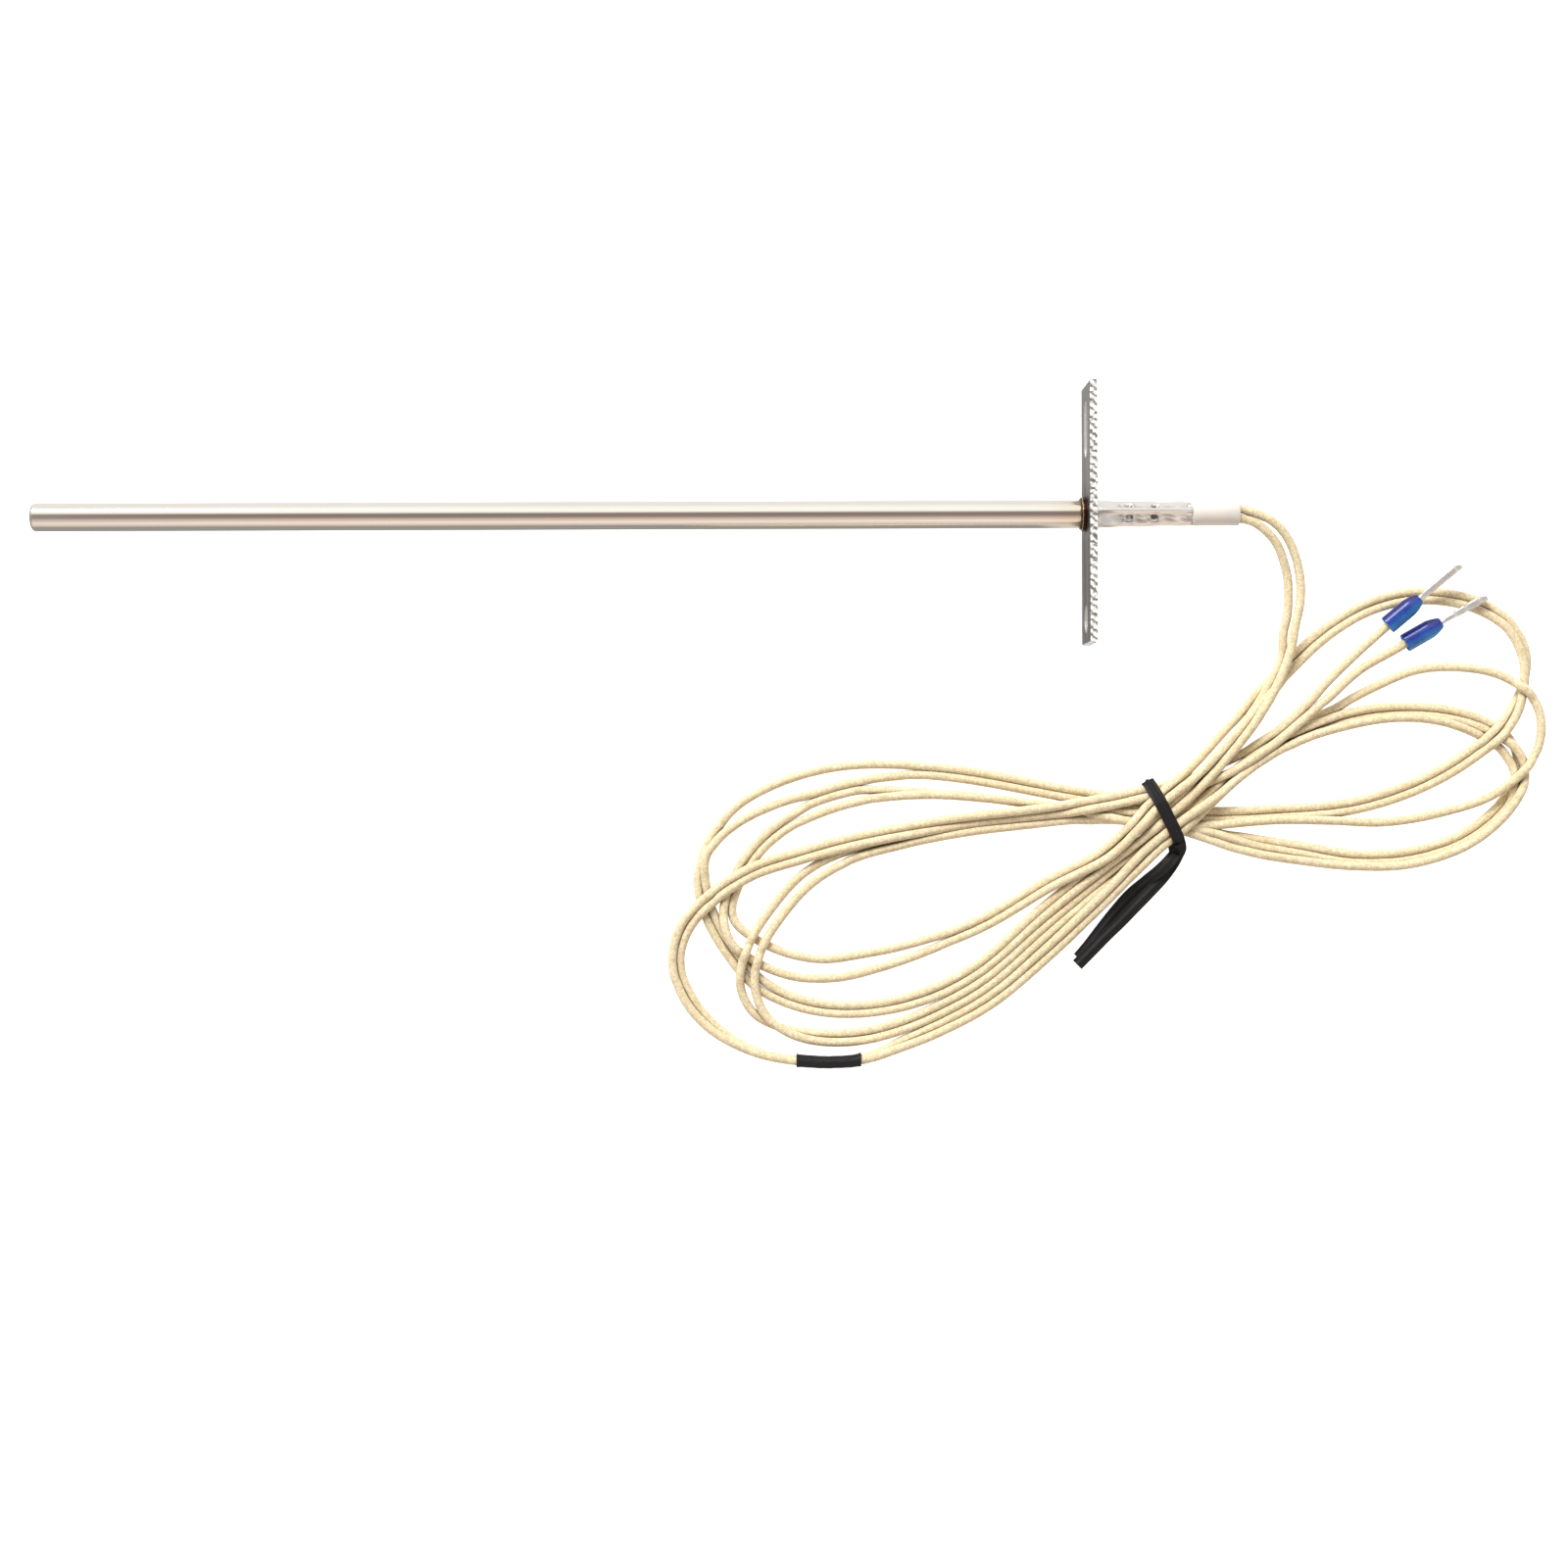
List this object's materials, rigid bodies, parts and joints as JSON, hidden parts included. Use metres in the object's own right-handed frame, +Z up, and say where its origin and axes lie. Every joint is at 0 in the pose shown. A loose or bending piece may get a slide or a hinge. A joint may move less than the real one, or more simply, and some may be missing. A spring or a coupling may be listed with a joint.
{
  "type": "thermocouple probe",
  "caption": "Flanged stainless thermocouple probe with a crimped tail and two braided leads folded into a tied hank, each ending in a ferrule.",
  "frame": {"origin": "on the surface the part lies on, under the middle of the probe: halfway from its tip to the mouth of its white sleeve", "axes": "+X along the probe, from its tip to its leads; +Y across it along the flange, towards the flange's slot; +Z up from the surface"},
  "size_m": [0.2567, 0.1155, 0.0127],
  "materials": {
    "stainless_steel": "polished drawn tube, warm from handling",
    "sheared_steel": "satin strip with sheared edges",
    "tinted_weld": "brown heat tint",
    "alumina": "unglazed",
    "cement": "rough",
    "magnesia": "pressed powder",
    "positive_alloy": "drawn wire",
    "negative_alloy": "drawn wire",
    "tinned_copper": "tin plated",
    "white_sleeve": "satin",
    "fibreglass_braid": "braided and varnished",
    "blue_plastic": "translucent",
    "black_plastic": "satin"
  },
  "bodies": {
    "root": {"cement_plug": "cement", "ceramic_insulator_1": "alumina", "ceramic_insulator_2": "alumina", "ceramic_insulator_3": "alumina", "ceramic_insulator_4": "alumina", "ceramic_insulator_5": "alumina", "ceramic_insulator_6": "alumina", "conductor_end_1": "tinned_copper", "conductor_end_2": "tinned_copper", "ferrule_collar_1": "blue_plastic", "ferrule_collar_2": "blue_plastic", "ferrule_pin_1": "tinned_copper", "ferrule_pin_2": "tinned_copper", "flange_plate": "sheared_steel", "flange_weld": "tinted_weld", "insulating_sleeve": "white_sleeve", "junction_bead": "tinted_weld", "lead_core_negative": "fibreglass_braid", "lead_core_positive": "fibreglass_braid", "lead_end_1": "fibreglass_braid", "lead_end_2": "fibreglass_braid", "lead_exit_1": "fibreglass_braid", "lead_exit_2": "fibreglass_braid", "lead_hank": "fibreglass_braid", "magnesia_packing": "magnesia", "marker_sleeve": "black_plastic", "sheath_tube": "stainless_steel", "splice_barrel_negative": "tinned_copper", "splice_barrel_positive": "tinned_copper", "splice_sleeve_negative": "white_sleeve", "splice_sleeve_positive": "white_sleeve", "thermo_wire_negative": "negative_alloy", "thermo_wire_positive": "positive_alloy", "tip_cap": "stainless_steel", "twist_tie": "black_plastic"}
  },
  "joints": []
}
